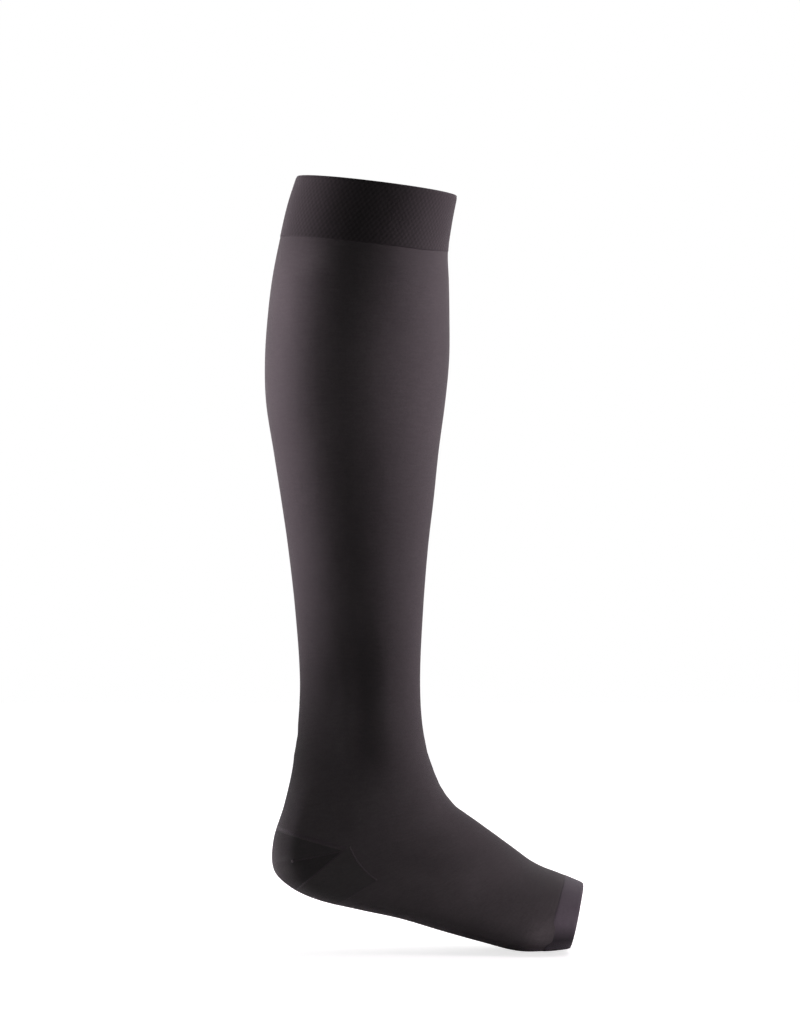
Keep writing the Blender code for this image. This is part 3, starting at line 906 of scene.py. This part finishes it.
arc = gussetArc()
middleEnd = aim(corner, seams["heelMiddle"], seams["middleReach"])
middle = evenSteps(corner, middleEnd)
chainOfStitches("gussetEdge", [seamOnSide(arc, -1), seamOnSide(arc, 1)])
aboveCorner = ((corner[0] + top[0]) / 2, (corner[1] + top[1]) / 2)
chainOfStitches("heelTop", [seamRoundBack(aboveCorner, seams["legToHeel"])])
chainOfStitches("heelMiddle", [seamOnSide(middle, -1), seamOnSide(middle, 1)])
knotLine = [middleEnd, aim(middleEnd, seams["heelMiddle"], goreStitch["knot"])]
chainOfStitches("heelKnot", [seamOnSide(knotLine, -1), seamOnSide(knotLine, 1)])
chainOfStitches("heelFront", [seamRoundBack(corner, seams["heelToGusset"])])
chainOfStitches("gussetFront", [seamRoundBack(tip, seams["gussetToFoot"])])
print("stitches made")

# floor, light and camera. Near the foot the floor throws much of the light back up, further off less
floorLook = {
    "size": 8, "gap": 0.0004, "roughness": 0.9, "gloss": 0.1, "glow": 0.72, "tone": (0.90, 0.90, 0.90, 1),
    "nearReach": 0.25, "farReach": 0.60, "nearTone": 0.88, "farTone": 0.32,
}
floorLevel = cadBox[0][2] - floorLook["gap"]
bpy.ops.object.select_all(action="DESELECT")
bpy.ops.mesh.primitive_plane_add(size=floorLook["size"], location=(0, 0, floorLevel))
floor = bpy.context.active_object
floor.name = "floor"
floorMaterial = bpy.data.materials.new("paleFloor")
floorMaterial.use_nodes = True
floorTree = floorMaterial.node_tree
floorShader = floorTree.nodes["Principled BSDF"]
floorShader.inputs["Roughness"].default_value = floorLook["roughness"]
floorShader.inputs["Specular IOR Level"].default_value = floorLook["gloss"]
floorShader.inputs["Emission Color"].default_value = (1, 1, 1, 1)
floorRay = addNode(floorTree, "ShaderNodeLightPath", (-800, 0))
floorGlow = mathNode(
    floorTree, "MULTIPLY", (-500, -200), floorRay.outputs["Is Camera Ray"], floorLook["glow"]
)
floorTree.links.new(floorGlow, floorShader.inputs["Emission Strength"])
floorPlace = addNode(floorTree, "ShaderNodeTexCoord", (-1300, 300))
floorReach = addNode(floorTree, "ShaderNodeVectorMath", (-1100, 300), operation="LENGTH")
floorTree.links.new(floorPlace.outputs["Object"], floorReach.inputs[0])
floorBounce = rangeNode(
    floorTree, (-900, 300), floorReach.outputs["Value"], floorLook["nearReach"], floorLook["farReach"],
    floorLook["nearTone"], floorLook["farTone"],
)
floorTone = addNode(floorTree, "ShaderNodeMix", (-500, 100), data_type="RGBA")
floorTree.links.new(floorRay.outputs["Is Camera Ray"], floorTone.inputs["Factor"])
floorTree.links.new(floorBounce, socketNamed(floorTone.inputs, "A", "RGBA"))
socketNamed(floorTone.inputs, "B", "RGBA").default_value = floorLook["tone"]
floorTree.links.new(socketNamed(floorTone.outputs, "Result", "RGBA"), floorShader.inputs["Base Color"])
floor.data.materials.append(floorMaterial)

# the room is white to look at. Its light on the cloth grows towards the back between frontTo and
# behindFrom, and the backdrop's between its own two places
room = {
    "fromFront": 0.140, "fromBehind": 0.38, "frontTo": -0.7, "behindFrom": 0.6,
    "backdrop": 1.0, "backdropFrom": 0.55, "backdropTo": 0.95,
}
world = bpy.data.worlds.new("studio")
bpy.context.scene.world = world
world.use_nodes = True
worldTree = world.node_tree
background = worldTree.nodes["Background"]
roomPlace = addNode(worldTree, "ShaderNodeTexCoord", (-1200, -200))
roomSides = addNode(worldTree, "ShaderNodeSeparateXYZ", (-1000, -200))
worldTree.links.new(roomPlace.outputs["Generated"], roomSides.inputs[0])
roomLight = rangeNode(
    worldTree, (-800, -200), roomSides.outputs["Y"], room["frontTo"], room["behindFrom"],
    room["fromFront"], room["fromBehind"],
)
backdrop = rangeNode(
    worldTree, (-800, -500), roomSides.outputs["Y"], room["backdropFrom"], room["backdropTo"],
    0.0, room["backdrop"],
)
allRound = mathNode(worldTree, "ADD", (-620, -300), roomLight, backdrop)
roomRay = addNode(worldTree, "ShaderNodeLightPath", (-800, 200))
seen = addNode(worldTree, "ShaderNodeMix", (-500, 0), data_type="FLOAT")
worldTree.links.new(roomRay.outputs["Is Camera Ray"], seen.inputs["Factor"])
worldTree.links.new(allRound, seen.inputs["A"])
seen.inputs["B"].default_value = 1.0
worldTree.links.new(seen.outputs["Result"], background.inputs["Strength"])
background.inputs["Color"].default_value = (1, 1, 1, 1)

# spots have a radius and a cone in degrees, and softboxes have a size
lamps = {
    "instepSpot": {
        "place": (0.42, -0.36, 0.70), "aim": (0.114, -0.01, -0.40), "radius": 0.06, "cone": 14,
        "watts": 9.2, "tint": (1.0, 0.84, 0.94),
    },
    "toeSpot": {
        "place": (0.84, -0.66, -0.40), "aim": (0.125, -0.03, -0.42), "radius": 0.03, "cone": 12,
        "watts": 31, "tint": (1.0, 0.87, 0.95),
    },
    "heelSpot": {
        "place": (-0.25, 0.116, -0.42), "aim": (-0.052, 0.0, -0.400), "radius": 0.036, "cone": 26,
        "watts": 4.8, "tint": (1.0, 0.88, 0.96),
    },
    "leftSoftbox": {
        "place": (-1.664, 0.345, -0.06), "aim": (0.0, 0.0, -0.2), "size": (0.9, 0.5),
        "watts": 48, "tint": (1.0, 0.83, 0.94),
    },
    "rightSoftbox": {
        "place": (1.30, 0.24, 0.04), "aim": (0.0, 0.0, -0.2), "size": (0.6, 0.9),
        "watts": 28, "tint": (1.0, 0.83, 0.94),
    },
}
for name, lamp in lamps.items():
    light = bpy.data.lights.new(name, "SPOT" if "cone" in lamp else "AREA")
    if "cone" in lamp:
        light.shadow_soft_size = lamp["radius"]
        light.spot_size = math.radians(lamp["cone"])
        light.spot_blend = 1.0
    else:
        light.shape = "RECTANGLE"
        light.size, light.size_y = lamp["size"]
    light.energy = lamp["watts"]
    light.color = lamp["tint"]
    lampObject = addObject(name, light)
    lampObject.location = lamp["place"]
    beam = Vector(lamp["aim"]) - Vector(lamp["place"])
    lampObject.rotation_euler = beam.to_track_quat("-Z", "Y").to_euler()
    lampObject.visible_camera = False

# cards out of sight keep the side softboxes off the ankle and the heel
cards = {
    "leftCard": {"x": -0.262, "frontY": -0.10, "backY": 0.20, "frontTop": -0.168, "backTop": -0.330},
    "rightCard": {"x": 0.300, "frontY": -0.06, "backY": 0.30, "frontTop": -0.262, "backTop": -0.262},
}
for name, edge in cards.items():
    cardPoints = [
        (edge["x"], edge["frontY"], floorLevel), (edge["x"], edge["backY"], floorLevel),
        (edge["x"], edge["backY"], edge["backTop"]), (edge["x"], edge["frontY"], edge["frontTop"]),
    ]
    cardMesh = bpy.data.meshes.new(name)
    cardMesh.from_pydata(cardPoints, [], [(0, 1, 2, 3)])
    card = addObject(name, cardMesh)
    card.visible_camera = False

cameraData = bpy.data.cameras.new("camera")
camera = addObject("camera", cameraData)
camera.location = (view["middle"][0], -view["distance"], view["middle"][1])
camera.rotation_euler = (math.pi / 2, 0, 0)
cameraData.sensor_fit = "VERTICAL"
cameraData.sensor_height = view["sensor"]
cameraData.lens = view["sensor"] * view["distance"] / view["height"]
bpy.context.scene.camera = camera
bpy.context.scene.view_settings.view_transform = "Standard"
